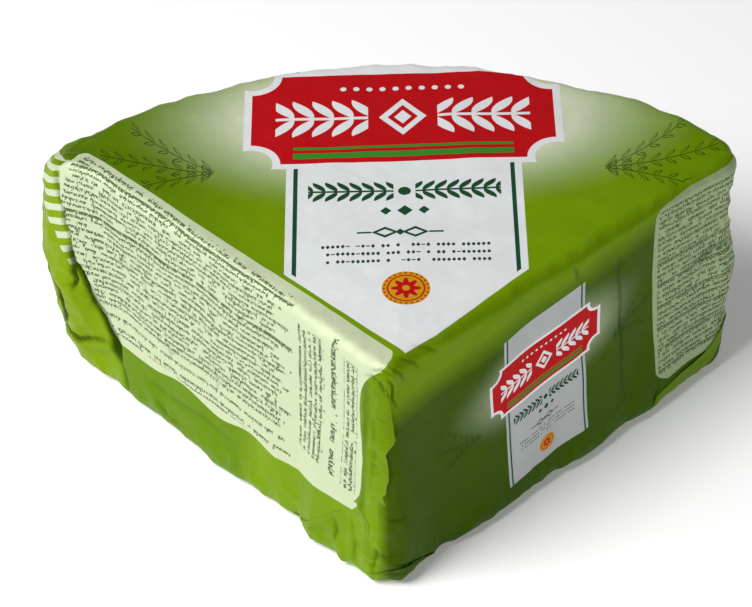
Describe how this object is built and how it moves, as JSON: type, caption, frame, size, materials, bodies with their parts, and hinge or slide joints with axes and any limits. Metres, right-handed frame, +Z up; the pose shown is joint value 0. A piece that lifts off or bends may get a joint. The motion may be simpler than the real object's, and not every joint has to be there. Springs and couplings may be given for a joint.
{
  "type": "foil-wrapped blue cheese wedge",
  "caption": "Shut wedge of blue cheese in printed green foil: a quarter circle of a wheel cut at half height, lying flat on its base.",
  "frame": {"origin": "middle of the pack's bounding box in plan, on the surface it rests on", "axes": "+Z up, +X along the chord of the rim, from the wedge's left rear corner to its right one; the nose points to -Y and the rim of the wheel to +Y"},
  "size_m": [0.2129, 0.1473, 0.0834],
  "materials": {
    "printed_foil": "satin lacquered foil printed yellow-green"
  },
  "bodies": {
    "root": {"wrapped_wedge": "printed_foil"}
  },
  "joints": []
}
